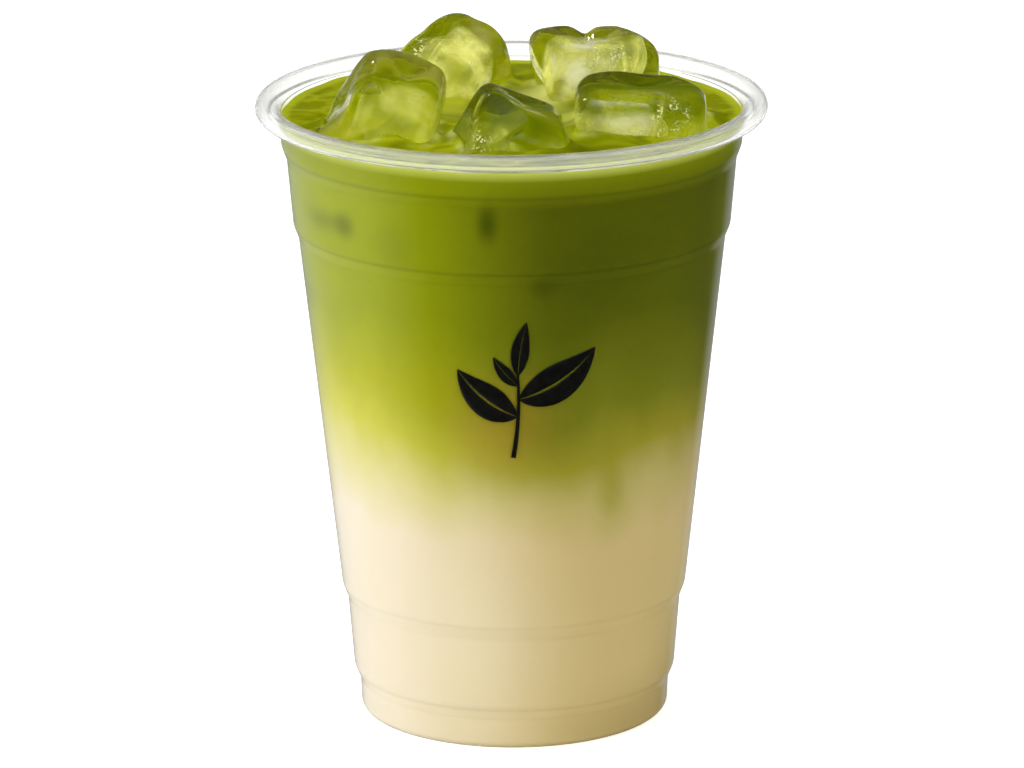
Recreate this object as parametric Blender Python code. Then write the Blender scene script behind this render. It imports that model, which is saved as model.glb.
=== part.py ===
"""An iced matcha and coconut drink in a clear disposable cup, in metres, +Z up.

The origin is the middle of the cup's foot, on the surface it stands on. The cup is one turned shell with
a rolled lip. Inside it lie a pale coconut layer and a green matcha layer, and five ice cubes stand out of
the matcha, which is cut round them.
"""

import math

import bmesh
import bpy
from mathutils import Euler, Matrix, Vector, noise

# Driving sizes of the cup, a 98 mm calibre, 16 oz clear cup.
LIP_RADIUS = 0.0490
LIP_TOP = 0.1216
WALL = 0.0005
FOOT_OUTER_RADIUS = 0.0285
FOOT_INNER_RADIUS = 0.0262
FOOT_EDGE_WIDTH = 0.0006
FOOT_EDGE_HEIGHT = 0.0007
BASE_PANEL_RADIUS = 0.0235
BASE_PANEL_HEIGHT = 0.0030

# The straight bands of the outer wall, each from (radius, height) at its foot to its top. An eased step
# joins each band to the next one up.
BANDS = (
    ((0.02985, 0.0022), (0.03000, 0.0064)),
    ((0.03068, 0.0089), (0.03230, 0.0226)),
    ((0.03325, 0.0264), (0.04058, 0.0944)),
    ((0.04160, 0.0974), (0.04285, 0.1095)),
    ((0.04410, 0.1128), (0.04460, 0.1188)),
)
STEP_SPANS = 2

# The rolled lip: a tube left open where its free edge turns in under itself.
CURL_RADIUS = 0.00165
CURL_TURN = math.radians(235)
CURL_SPANS = 7
FLARE_SPANS = 4

# The drink.
FIT_GAP = 0.0003
DRINK_LEVEL = 0.1185
MENISCUS_RISE = 0.0005
MENISCUS_WIDTH = 0.0030
RIPPLE = 0.00035
RIPPLE_LENGTH = 0.0170
LAYER_HEIGHT = 0.0585
LAYER_TILT_X = -0.0016
LAYER_TILT_Y = 0.0048
LAYER_LOBE = 0.0011
LAYER_LOBES = 5
LAYER_LOBE_PHASE = 0.7
LAYER_REACH = 0.012
SURFACE_RINGS = (0.93, 0.68, 0.36)
LAYER_RINGS = (0.66, 0.33)

SEGMENTS = 54

# The ice: tilts in degrees, taper of the top along x and y, and its lean along x, as shares of the size.
ICE_CUBES = {
    "ice_left": dict(
        centre=(-0.0240, -0.0112, 0.1182), size=(0.0214, 0.0257, 0.0257),
        tilt=(24, 22, 1), taper=(0.22, 0.04), lean=0.00, seed=3,
    ),
    "ice_back_left": dict(
        centre=(-0.0122, 0.0234, 0.1188), size=(0.0197, 0.0247, 0.0236),
        tilt=(14, 28, -29), taper=(0.24, 0.25), lean=-0.10, seed=11,
    ),
    "ice_back_right": dict(
        centre=(0.0169, 0.0201, 0.1172), size=(0.0238, 0.0229, 0.0254),
        tilt=(4, 2, 12), taper=(-0.09, 0.20), lean=-0.17, seed=19,
    ),
    "ice_front": dict(
        centre=(0.0004, -0.0238, 0.1154), size=(0.0222, 0.0236, 0.0209),
        tilt=(6, 24, 10), taper=(0.22, 0.20), lean=-0.18, seed=27,
    ),
    "ice_right": dict(
        centre=(0.0246, -0.0090, 0.1154), size=(0.0263, 0.0234, 0.0230),
        tilt=(7, 2, -2), taper=(-0.04, 0.15), lean=-0.01, seed=35,
    ),
}
ICE_CUTS = 5
ICE_SQUARENESS = 4.2
ICE_DENT = 0.0014
ICE_DENT_LENGTH = 0.0100

# Each material: colour, roughness, transmission and index of refraction.
MATERIALS = {
    "cup_plastic": ((0.90, 0.93, 0.92), 0.15, 1.0, 1.57),
    "coconut_milk": ((0.86, 0.78, 0.58), 0.35, 0.0, 1.35),
    "matcha_tea": ((0.34, 0.38, 0.02), 0.30, 0.0, 1.34),
    "ice": ((0.72, 0.78, 0.36), 0.08, 1.0, 1.31),
}


def clear_scene():
    for obj in list(bpy.data.objects):
        bpy.data.objects.remove(obj)


def make_material(name):
    colour, roughness, transmission, refraction = MATERIALS[name]
    material = bpy.data.materials.new(name)
    material.use_nodes = True
    shader = material.node_tree.nodes["Principled BSDF"]
    shader.inputs["Base Color"].default_value = (*colour, 1.0)
    shader.inputs["Roughness"].default_value = roughness
    shader.inputs["Metallic"].default_value = 0.0
    shader.inputs["Transmission Weight"].default_value = transmission
    shader.inputs["IOR"].default_value = refraction
    return material


def make_object(name, mesh_source, material):
    """Turns a bmesh into a shaded object and frees the bmesh."""
    bmesh.ops.recalc_face_normals(mesh_source, faces=mesh_source.faces)
    mesh = bpy.data.meshes.new(name)
    mesh_source.to_mesh(mesh)
    mesh_source.free()
    mesh.materials.append(material)
    mesh.shade_smooth()
    mesh.set_sharp_from_angle(angle=math.radians(50))
    obj = bpy.data.objects.new(name, mesh)
    bpy.context.scene.collection.objects.link(obj)
    return obj


def ease(share):
    """A smooth step from 0 to 1."""
    return share * share * (3 - 2 * share)


def wall_path():
    """(radius, height) points up the outer face of the wall, from the foot's corner to the neck."""
    points = []
    for index, (foot, top) in enumerate(BANDS):
        if index:
            below = BANDS[index - 1][1]
            for step in range(1, STEP_SPANS):
                share = step / STEP_SPANS
                radius = below[0] + (foot[0] - below[0]) * ease(share)
                points.append((radius, below[1] + (foot[1] - below[1]) * share))
        points += [foot, top]
    return points


def wall_radius(height):
    """The outer radius of the wall at a height, read along the same outline."""
    points = wall_path()
    for (low_radius, low), (high_radius, high) in zip(points, points[1:]):
        if height <= high:
            share = max(0.0, (height - low) / (high - low))
            return low_radius + (high_radius - low_radius) * share
    return points[-1][0]


def base_path():
    """The underside, from the axis across the raised panel to the foot and round its corner."""
    corner_height = BANDS[0][0][1]
    corner_width = BANDS[0][0][0] - FOOT_OUTER_RADIUS
    middle = math.radians(45)
    return [
        (0.0, BASE_PANEL_HEIGHT),
        (BASE_PANEL_RADIUS, BASE_PANEL_HEIGHT),
        (FOOT_INNER_RADIUS - FOOT_EDGE_WIDTH, FOOT_EDGE_HEIGHT),
        (FOOT_INNER_RADIUS, 0.0),
        (FOOT_OUTER_RADIUS, 0.0),
        (
            FOOT_OUTER_RADIUS + corner_width * math.sin(middle),
            corner_height * (1 - math.cos(middle)),
        ),
    ]


def lip_path():
    """The outer face's continuation: the flare out of the neck, then the curl's concave side."""
    curl_inside = CURL_RADIUS - WALL
    curl_centre = (LIP_RADIUS - CURL_RADIUS, LIP_TOP - CURL_RADIUS)
    neck_radius, neck_top = BANDS[-1][1]
    reach = curl_centre[0] - neck_radius
    rise = curl_centre[1] + curl_inside - neck_top
    points = []
    for step in range(1, FLARE_SPANS):
        angle = math.pi / 2 * step / FLARE_SPANS
        points.append((neck_radius + reach * (1 - math.cos(angle)), neck_top + rise * math.sin(angle)))
    for step in range(CURL_SPANS + 1):
        angle = math.pi / 2 - CURL_TURN * step / CURL_SPANS
        points.append(
            (curl_centre[0] + curl_inside * math.cos(angle), curl_centre[1] + curl_inside * math.sin(angle))
        )
    return points


def offset_path(points, distance):
    """The path moved to its left by a distance, with mitred corners, so straight stretches stay straight."""
    moved = []
    for index, point in enumerate(points):
        here = Vector(point)
        ahead = Vector(points[min(index + 1, len(points) - 1)]) - here
        behind = here - Vector(points[max(index - 1, 0)])
        ahead = (ahead if ahead.length else behind).normalized()
        behind = (behind if behind.length else ahead).normalized()
        left = Vector((-ahead.y - behind.y, ahead.x + behind.x)).normalized()
        moved.append(here + left * (distance / left.dot(Vector((-ahead.y, ahead.x)))))
    return moved


def build_cup(material):
    """The whole cup, turned from one closed outline: out along the outer face, back along the inner."""
    outer = base_path() + wall_path() + lip_path()
    inner = offset_path(outer, WALL)
    inner[0].x = 0.0
    outline = [Vector(point) for point in outer] + inner[::-1]
    turned = bmesh.new()
    corners = [turned.verts.new((point.x, 0.0, point.y)) for point in outline]
    edges = [turned.edges.new(pair) for pair in zip(corners, corners[1:])]
    bmesh.ops.spin(
        turned,
        geom=corners + edges,
        cent=(0, 0, 0),
        axis=(0, 0, 1),
        angle=2 * math.pi,
        steps=SEGMENTS,
        use_merge=True,
    )
    bmesh.ops.remove_doubles(turned, verts=turned.verts, dist=1e-6)
    return make_object("cup", turned, material)


def inner_radius(height):
    """The radius that the drink fills to at a height: the wall's inner face less the fitting gap."""
    return wall_radius(height) - WALL - FIT_GAP


def layer_height(x, y):
    """Where the matcha meets the coconut milk: a tilted, gently lobed sheet."""
    full = inner_radius(LAYER_HEIGHT)
    share = min(1.0, math.hypot(x, y) / full)
    lobes = LAYER_LOBE * share * share * math.cos(LAYER_LOBES * math.atan2(y, x) + LAYER_LOBE_PHASE)
    return LAYER_HEIGHT + (LAYER_TILT_X * x + LAYER_TILT_Y * y) / full + lobes


def surface_height(x, y):
    """The drink's top: level, with low ripples, and drawn up where it wets the wall."""
    from_wall = inner_radius(DRINK_LEVEL) - math.hypot(x, y)
    climb = MENISCUS_RISE * max(0.0, 1 - from_wall / MENISCUS_WIDTH) ** 2
    ripple = RIPPLE * noise.noise(Vector((x, y, 0.0)) / RIPPLE_LENGTH)
    return DRINK_LEVEL + climb + ripple


def add_ring(target, radius_at, height_at):
    """One ring of SEGMENTS points, each placed by its angle."""
    ring = []
    for index in range(SEGMENTS):
        angle = 2 * math.pi * index / SEGMENTS
        radius = radius_at(angle)
        x, y = radius * math.cos(angle), radius * math.sin(angle)
        ring.append(target.verts.new((x, y, height_at(x, y))))
    return ring


def join_rings(target, lower, upper):
    for index in range(SEGMENTS):
        target.faces.new((lower[index - 1], lower[index], upper[index], upper[index - 1]))


def close_with_fan(target, ring, height):
    """Closes a ring with triangles that meet at a point on the axis."""
    tip = target.verts.new((0.0, 0.0, height))
    for index in range(SEGMENTS):
        target.faces.new((ring[index - 1], ring[index], tip))


def build_layer(name, material, bottom_shares, bottom_height, wall_heights, top_shares, top_height):
    """A closed body of drink: rings across its bottom, up its side and back across its top.

    The shares are parts of the full radius, and the two height functions take x and y.
    """

    def full_radius(height_at, angle):
        near = inner_radius(height_at(0.0, 0.0))
        return inner_radius(height_at(near * math.cos(angle), near * math.sin(angle)))

    body = bmesh.new()
    rings = []
    for share in (*bottom_shares, 1.0):
        rings.append(add_ring(body, lambda angle: share * full_radius(bottom_height, angle), bottom_height))
    for height in wall_heights:
        rings.append(add_ring(body, lambda angle: inner_radius(height), lambda x, y: height))
    for share in (1.0, *top_shares):
        rings.append(add_ring(body, lambda angle: share * full_radius(top_height, angle), top_height))
    for lower, upper in zip(rings, rings[1:]):
        join_rings(body, lower, upper)
    close_with_fan(body, rings[0], bottom_height(0.0, 0.0))
    close_with_fan(body, rings[-1], top_height(0.0, 0.0))
    bmesh.ops.triangulate(body, faces=body.faces, quad_method="SHORT_EDGE")
    return make_object(name, body, material)


def wall_breaks(low, high):
    """The heights of the wall outline's own points between two levels, so a layer follows every step."""
    return [height for _, height in wall_path() if low < height < high]


def build_coconut_layer(material):
    floor = BASE_PANEL_HEIGHT + WALL + FIT_GAP
    return build_layer(
        "coconut_layer",
        material,
        (),
        lambda x, y: floor,
        wall_breaks(floor, LAYER_HEIGHT - LAYER_REACH),
        LAYER_RINGS,
        lambda x, y: layer_height(x, y) - FIT_GAP / 2,
    )


def build_matcha_layer(material):
    return build_layer(
        "matcha_layer",
        material,
        LAYER_RINGS[::-1],
        lambda x, y: layer_height(x, y) + FIT_GAP / 2,
        wall_breaks(LAYER_HEIGHT + LAYER_REACH, DRINK_LEVEL - RIPPLE),
        SURFACE_RINGS,
        surface_height,
    )


def build_ice_cube(name, material, centre, size, tilt, taper, lean, seed):
    """A melting cube: a rounded, tapered box with broad dents, tilted and set in place."""
    cube = bmesh.new()
    bmesh.ops.create_cube(cube, size=2.0)
    bmesh.ops.subdivide_edges(cube, edges=cube.edges, cuts=ICE_CUTS, use_grid_fill=True)
    half = Vector(size) / 2
    for vert in cube.verts:
        spread = sum(abs(c) ** ICE_SQUARENESS for c in vert.co) ** (1 / ICE_SQUARENESS)
        unit = vert.co / spread
        shape = Vector(
            (
                half.x * (unit.x * (1 - taper[0] * unit.z) + lean * unit.z),
                half.y * unit.y * (1 - taper[1] * unit.z),
                half.z * unit.z,
            )
        )
        rough = noise.noise(shape / ICE_DENT_LENGTH + Vector((seed, 2.0 * seed, 0.0)))
        vert.co = shape - shape.normalized() * ICE_DENT * (0.5 + 0.5 * rough)
    turn = Euler([math.radians(angle) for angle in tilt]).to_matrix().to_4x4()
    bmesh.ops.transform(cube, matrix=Matrix.Translation(centre) @ turn, verts=cube.verts)
    return make_object(name, cube, material)


def cut_pocket(ice, pockets):
    """Adds a copy of the ice, grown by the fitting gap, to the shapes cut out of the drink."""
    pocket = ice.copy()
    pocket.data = ice.data.copy()
    pocket.name = ice.name + "_pocket"
    for vert in pocket.data.vertices:
        vert.co += vert.normal * FIT_GAP
    pocket.hide_render = True
    pocket.display_type = "WIRE"
    pockets.objects.link(pocket)


def main():
    clear_scene()
    materials = {name: make_material(name) for name in MATERIALS}
    build_cup(materials["cup_plastic"])
    build_coconut_layer(materials["coconut_milk"])
    matcha = build_matcha_layer(materials["matcha_tea"])
    pockets = bpy.data.collections.new("ice_pockets")
    bpy.context.scene.collection.children.link(pockets)
    for name, shape in ICE_CUBES.items():
        cut_pocket(build_ice_cube(name, materials["ice"], **shape), pockets)
    cut = matcha.modifiers.new("ice_pockets", "BOOLEAN")
    cut.operation = "DIFFERENCE"
    cut.operand_type = "COLLECTION"
    cut.collection = pockets
    cut.solver = "EXACT"


main()
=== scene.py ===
# An iced matcha and coconut drink in a clear cup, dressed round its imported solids.
import math
import random

import bmesh
import bpy
from mathutils import Euler, Matrix, Vector, noise
from mathutils.bvhtree import BVHTree


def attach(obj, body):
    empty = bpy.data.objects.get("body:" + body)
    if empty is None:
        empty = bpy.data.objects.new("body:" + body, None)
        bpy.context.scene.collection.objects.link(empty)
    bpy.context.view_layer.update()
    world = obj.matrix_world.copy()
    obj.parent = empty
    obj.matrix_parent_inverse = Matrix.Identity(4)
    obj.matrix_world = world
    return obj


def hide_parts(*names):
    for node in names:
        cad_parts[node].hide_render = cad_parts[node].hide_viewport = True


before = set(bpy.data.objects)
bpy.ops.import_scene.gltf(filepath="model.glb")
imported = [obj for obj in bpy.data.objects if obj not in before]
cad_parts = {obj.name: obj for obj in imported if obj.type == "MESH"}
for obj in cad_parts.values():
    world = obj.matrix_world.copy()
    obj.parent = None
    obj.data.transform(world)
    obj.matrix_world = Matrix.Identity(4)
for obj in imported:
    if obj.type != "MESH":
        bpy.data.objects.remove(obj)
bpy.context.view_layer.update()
mm = 0.001
hair = 0.001 * mm  # closer than this is the same place
sharpEdge = math.radians(45)  # faces that meet at a sharper turn look creased
print("frame loaded")


def hexColour(code):  # sRGB hex to the linear colour that a socket takes
    channels = [int(code[i:i + 2], 16) / 255 for i in (1, 3, 5)]
    linear = [c / 12.92 if c <= 0.04045 else ((c + 0.055) / 1.055) ** 2.4 for c in channels]
    return (*linear, 1.0)


def addNode(tree, kind, inputs=None, **settings):  # an input is a value, a socket, or a node to link from
    node = tree.nodes.new(kind)
    for name, value in settings.items():
        setattr(node, name, value)
    for name, value in (inputs or {}).items():
        if isinstance(value, bpy.types.Node):
            value = next(socket for socket in value.outputs if socket.enabled)
        if isinstance(value, bpy.types.NodeSocket):
            tree.links.new(value, node.inputs[name])
        else:
            node.inputs[name].default_value = value
    return node


def newMaterial(name):
    material = bpy.data.materials.new(name)
    material.use_nodes = True
    material.node_tree.nodes.clear()
    return material, material.node_tree


def finishGlass(tree, inputs, shadowCode):  # clear stuff: its shadow is tinted light, not black
    body = addNode(tree, "ShaderNodeBsdfPrincipled", inputs)
    path = addNode(tree, "ShaderNodeLightPath")
    clear = addNode(tree, "ShaderNodeBsdfTransparent", {"Color": hexColour(shadowCode)})
    mix = addNode(tree, "ShaderNodeMixShader", {0: path.outputs["Is Shadow Ray"], 1: body, 2: clear})
    addNode(tree, "ShaderNodeOutputMaterial", {"Surface": mix})


def fillRamp(node, stops):  # (position, hex colour) pairs
    elements = node.color_ramp.elements
    while len(elements) > 1:
        elements.remove(elements[-1])
    elements[0].position = stops[0][0]
    elements[0].color = hexColour(stops[0][1])
    for position, code in stops[1:]:
        elements.new(position).color = hexColour(code)


def finishPiece(name, shape, materials, replaced=()):  # a bmesh becomes a riding piece
    mesh = bpy.data.meshes.new(name)
    shape.to_mesh(mesh)
    shape.free()
    for material in materials:
        mesh.materials.append(material)
    mesh.shade_smooth()
    mesh.set_sharp_from_angle(angle=sharpEdge)
    piece = bpy.data.objects.new(name, mesh)
    bpy.context.scene.collection.objects.link(piece)
    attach(piece, "root")
    if replaced:
        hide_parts(*replaced)
    return piece


def smoothStep(low, high, value):
    t = min(1.0, max(0.0, (value - low) / (high - low)))
    return t * t * (3 - 2 * t)


def drawLine(shape, points):  # a wire through (radius, height) points, in the XZ plane
    corners = [shape.verts.new((radius, 0, height)) for radius, height in points]
    for pair in zip(corners, corners[1:]):
        shape.edges.new(pair)
    return corners


def roundCorners(shape, points, width, segments):  # the wire's corners at (radius, height) points
    near = hair ** 2
    corners = [
        vert for vert in shape.verts
        if any((vert.co.x - radius) ** 2 + (vert.co.z - height) ** 2 < near for radius, height in points)
    ]
    bmesh.ops.bevel(
        shape, geom=corners, offset=width, offset_type="OFFSET", affect="VERTICES",
        segments=segments, profile=0.5, material=-1,
    )


def spinRound(shape, steps):  # the whole wire, a full turn about Z, with its pole and seam closed
    bmesh.ops.spin(
        shape, geom=shape.verts[:] + shape.edges[:], cent=(0, 0, 0), axis=(0, 0, 1),
        angle=2 * math.pi, steps=steps, use_merge=True,
    )
    bmesh.ops.remove_doubles(shape, verts=shape.verts, dist=2 * hair)
    bmesh.ops.recalc_face_normals(shape, faces=shape.faces)


cup = {
    "wall": 0.50 * mm,
    "steps": 192,
    "panelHeight": 3.0 * mm,
    "panelRadius": 23.5 * mm,
    "panelRound": 0.7 * mm,
    "footInner": 26.2 * mm,
    "footCorner": (29.70 * mm, 0.0),  # radius and height
    "footRound": 1.7 * mm,
    "bands": (  # (radius, height) where the wall's straight stretches end
        (29.98 * mm, 6.2 * mm),
        (31.12 * mm, 9.0 * mm),
        (32.25 * mm, 22.8 * mm),
        (33.30 * mm, 25.6 * mm),
        (40.98 * mm, 94.9 * mm),
        (41.96 * mm, 97.4 * mm),
        (43.10 * mm, 110.3 * mm),
        (44.10 * mm, 113.0 * mm),
    ),
    "bandRound": 0.45 * mm,
    "neck": 44.65 * mm,
    "neckRound": 2.1 * mm,
    "dryFrom": 118.6 * mm,  # above the drink, where the wall looks hazy too
    "lipRadius": 49.0 * mm,
    "lipTop": 121.6 * mm,
    "curl": 1.65 * mm,
    "curlTurn": 235,  # degrees
    "curlSteps": 72,
    "curlMargin": 0.1 * mm,  # what is this near to the curl's circle is on the curl
    "lipMargin": 0.4 * mm,  # the lip's milky plastic starts this far below the curl
    "midHeight": 60 * mm,
    "milkyLines": (  # degrees round the curl from its top, strength
        (4, 0.30), (37, 0.36), (70, 0.22), (92, 0.18), (122, 0.48),
    ),
    "milkyWidth": (2, 9),  # degrees to each side of a line where it is full, and gone
    "haze": 0.11,  # how milky the dry wall above the drink looks
}


def wallLine(inset):  # the cup's outside from the foot to the neck, moved in by a depth
    return [(radius - inset, height) for radius, height in (cup["footCorner"], *cup["bands"])]


def makeClearPlastic():  # PET, thermoformed and glossy: thin and clear, with a faint cool haze
    material, tree = newMaterial("clearPetPlastic")
    finishGlass(tree, {
        "Base Color": hexColour("#fbfdfc"), "Roughness": 0.04, "IOR": 1.57, "Transmission Weight": 1.0,
    }, "#f6f8f7")
    return material


def makeLipPlastic():  # the same sheet where it is rolled: fine ribs and doubled walls make it look milky
    material, tree = newMaterial("rolledPetLip")
    milk = addNode(tree, "ShaderNodeAttribute", attribute_name="milk").outputs["Fac"]
    clearness = addNode(tree, "ShaderNodeMapRange", {"Value": milk, "To Min": 1.0, "To Max": 0.45})
    finishGlass(tree, {
        "Base Color": hexColour("#fefefd"), "Roughness": 0.19, "IOR": 1.13,
        "Transmission Weight": clearness,
    }, "#eceeec")
    return material


def makeCup():
    shape = bmesh.new()
    curlInside = cup["curl"] - cup["wall"]
    curlCentre = Vector((cup["lipRadius"] - cup["curl"], 0, cup["lipTop"] - cup["curl"]))
    lipHeight = curlCentre.z + curlInside
    base = [(0, cup["panelHeight"]), (cup["panelRadius"], cup["panelHeight"]), (cup["footInner"], 0)]
    corners = drawLine(shape, base + wallLine(0) + [(cup["neck"], lipHeight), (curlCentre.x, lipHeight)])
    curlStart = corners[-1]
    bmesh.ops.spin(  # the rolled lip turns out, down and in under itself
        shape, geom=[curlStart], cent=curlCentre, axis=(0, 1, 0),
        angle=math.radians(cup["curlTurn"]), steps=cup["curlSteps"], use_merge=False,
    )
    bmesh.ops.remove_doubles(shape, verts=shape.verts, dist=2 * hair)
    roundCorners(shape, base[1:], cup["panelRound"], 4)
    roundCorners(shape, [cup["footCorner"]], cup["footRound"], 6)
    roundCorners(shape, cup["bands"], cup["bandRound"], 4)
    roundCorners(shape, [(cup["neck"], lipHeight)], cup["neckRound"], 8)
    spinRound(shape, cup["steps"])

    def rightOfMiddle(face):
        centre = face.calc_center_median()
        return centre.x - abs(centre.z - cup["midHeight"])

    if max(shape.faces, key=rightOfMiddle).normal.x < 0:  # this face is on the wall, and has to face out
        bmesh.ops.reverse_faces(shape, faces=shape.faces)
    milk = shape.verts.layers.float.new("milk")
    for vert in shape.verts:
        out = Vector((vert.co.xy.length - curlCentre.x, vert.co.z - curlCentre.z))
        turned = math.degrees(math.atan2(out.x, out.y))
        lines = [
            share * (1 - smoothStep(*cup["milkyWidth"], abs(turned - line)))
            for line, share in cup["milkyLines"]
        ]
        onCurl = out.length < cup["curl"] + cup["curlMargin"]
        vert[milk] = max(cup["haze"], *lines) if onCurl else cup["haze"]
    lipStart = cup["lipTop"] - 2 * cup["curl"] - cup["lipMargin"]
    for face in shape.faces:
        centre = face.calc_center_median()
        rolled = centre.z > lipStart and centre.xy.length > cup["neck"]
        face.material_index = 1 if rolled or centre.z > cup["dryFrom"] else 0
    piece = finishPiece("clear_cup", shape, [makeClearPlastic(), makeLipPlastic()], ["cup"])
    shell = piece.modifiers.new("wall", "SOLIDIFY")
    shell.thickness = cup["wall"]
    shell.offset = -1
    shell.use_even_offset = True


ice = {
    "cuts": 30,
    "squareness": 5.4,
    "broadDent": (1.2 * mm, 10.0 * mm),  # depth and length, as the solids have them
    "melt": (0.30 * mm, 6.0 * mm),
    "pits": (0.04 * mm, 1.6 * mm),
    "dish": 0.9 * mm,  # how far the middle of each face has melted in
    "chipReach": 1.13,  # where the facets are, as a share of the half size
    "chipDepth": 1.1 * mm,
    "chipFlat": 0.9,  # 1 would make a facet quite flat
    "chips": {  # how many flat facets have melted off the corners
        "ice_left": 3, "ice_back_left": 1, "ice_back_right": 2, "ice_front": 3, "ice_right": 2,
    },
    "cores": {  # the cloudy middle: place and size as shares of the half size, and how much it hides
        "ice_left": ((0.10, -0.25, 0.20), (0.62, 0.50, 0.52), 0.32),
        "ice_back_left": ((0.05, -0.10, 0.32), (0.66, 0.50, 0.60), 1.00),
        "ice_back_right": ((-0.28, -0.30, 0.46), (0.84, 0.54, 0.56), 1.00),
        "ice_front": ((-0.10, 0.00, -0.05), (0.26, 0.30, 0.24), 0.45),
        "ice_right": ((-0.30, -0.45, 0.36), (0.66, 0.50, 0.56), 0.78),
    },
    "veils": (1.0, 0.72),  # sizes: a core is two thin veils, one inside the other
    "veilSquareness": 3.2,
    "veilLimit": 0.88,  # share of the half size that they stay within
    "veilLump": (0.25, 1.6),  # how uneven a veil's shape is: share and frequency
    "veilPatch": (0.6, 0.8, 1.1),  # how uneven its cloud is: mean, swing and frequency
    "veilFade": (0.35, 0.95),  # a veil's corners are clear: where its cloud starts to fade, and is gone
    "flatTop": {"ice_left": 131.7 * mm, "ice_back_left": 131.2 * mm},  # a cube is flatter above this
    "melted": 0.6,  # how much flatter: the share of what stood there that has melted
    "groove": ("ice_back_right", 13.9 * mm, 1.7 * mm, 1.6 * mm),  # cube, its X, half width and depth
    "cubes": {  # centre and size in mm, tilts in degrees, taper and lean as shares of the size, seed
        "ice_left": ((-24.0, -11.2, 118.2), (21.4, 25.7, 25.7), (24, 22, 1), (0.22, 0.04), 0.00, 3),
        "ice_back_left": ((-12.2, 23.4, 118.8), (19.7, 24.7, 23.6), (14, 28, -29), (0.24, 0.25), -0.10, 11),
        "ice_back_right": ((16.9, 20.1, 117.2), (23.8, 22.9, 25.4), (4, 2, 12), (-0.09, 0.20), -0.17, 19),
        "ice_front": ((0.6, -23.8, 116.3), (22.6, 23.6, 21.6), (6, 24, 10), (0.22, 0.20), -0.18, 27),
        "ice_right": ((24.6, -9.0, 115.4), (26.3, 23.4, 23.0), (7, 2, -2), (-0.04, 0.15), -0.01, 35),
    },
    "topFilmAndRefraction": (0.55, 0.95),  # shares of the half height where the green on top, tea film and painted refraction, starts and is full
    "edgeFilmAndRefraction": (0.80, 0.98, 0.25),  # where an edge's green, tea film and painted refraction, starts and is full, and how much it is
    "leastGreenTint": -0.45,  # no green shows at all
    "spotFadeFrom": 0.2,  # share of a spot's radius where it starts to fade
    "frostFrom": 0.45,  # the same for frost
    "film": {  # how much green all over, and how much more on top: tea film and painted refraction of the drink
        "ice_left": (0.06, 0.24),
        "ice_back_left": (0.00, 0.30),
        "ice_back_right": (0.00, 0.25),
        "ice_front": (0.72, 0.20),
        "ice_right": (0.10, 0.90),
    },
    "filmAndRefractionSpots": (  # centre and radius in mm, amount: where more of the tea film and its painted refraction shows, or less
        ((-35.0, -15.0, 121.0), 8.5, 1.1),
        ((10.0, 11.0, 126.0), 8.5, -0.8),
        ((7.0, 17.0, 127.0), 8.5, -0.9),
        ((-8.0, 18.0, 126.0), 11.0, -0.5),
    ),
    "bulges": (  # cube, centre, radius, shift, in mm
        ("ice_left", (-36.0, -16.0, 117.5), 9.0, (-2.8, -0.6, 0.0)),
        ("ice_back_left", (-5.5, 20.0, 128.5), 8.0, (1.2, 0.0, 1.7)),
    ),
    "frost": (  # centre and radius in mm: patches of fine white crystals
        ((19.6, 11.0, 127.0), 5.5),
        ((14.5, 9.0, 123.5), 3.5),
        ((-6.2, -33.0, 120.5), 4.5),
        ((-2.4, -24.0, 126.5), 2.5),
        ((29.0, -19.5, 121.0), 8.0),
        ((-18.0, 15.0, 127.5), 3.5),
    ),
}


def placeCube(name):
    centre, _, tilt, _, _, _ = ice["cubes"][name]
    turn = Euler([math.radians(a) for a in tilt]).to_matrix().to_4x4()
    return Matrix.Translation(Vector(centre) * mm) @ turn


def chipFacets(name, half, seed):  # a facet is its normal and its distance from the cube's centre
    random.seed(seed)
    facets = []
    for _ in range(ice["chips"][name]):
        normal = Vector([random.choice((-1, 1)) * random.uniform(0.45, 1.0) for _ in range(3)]).normalized()
        corner = Vector([half[i] * normal[i] for i in range(3)]).length
        facets.append((normal, corner * ice["chipReach"] - ice["chipDepth"]))
    return facets


def teaFilmAndPaintedRefraction(name, spot, upward, edgeNear):  # spot in mm; the other two are shares of the half size; the green is tea film and painted refraction of the drink, most on the top and edges
    allOver, onTop = ice["film"][name]
    start, full, onEdge = ice["edgeFilmAndRefraction"]
    greenTint = allOver + onTop * smoothStep(*ice["topFilmAndRefraction"], upward)
    greenTint += onEdge * smoothStep(start, full, edgeNear)
    for centre, radius, amount in ice["filmAndRefractionSpots"]:
        greenTint += amount * (1 - smoothStep(ice["spotFadeFrom"], 1.0, (spot - Vector(centre)).length / radius))
    return min(1.0, max(ice["leastGreenTint"], greenTint))


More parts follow.
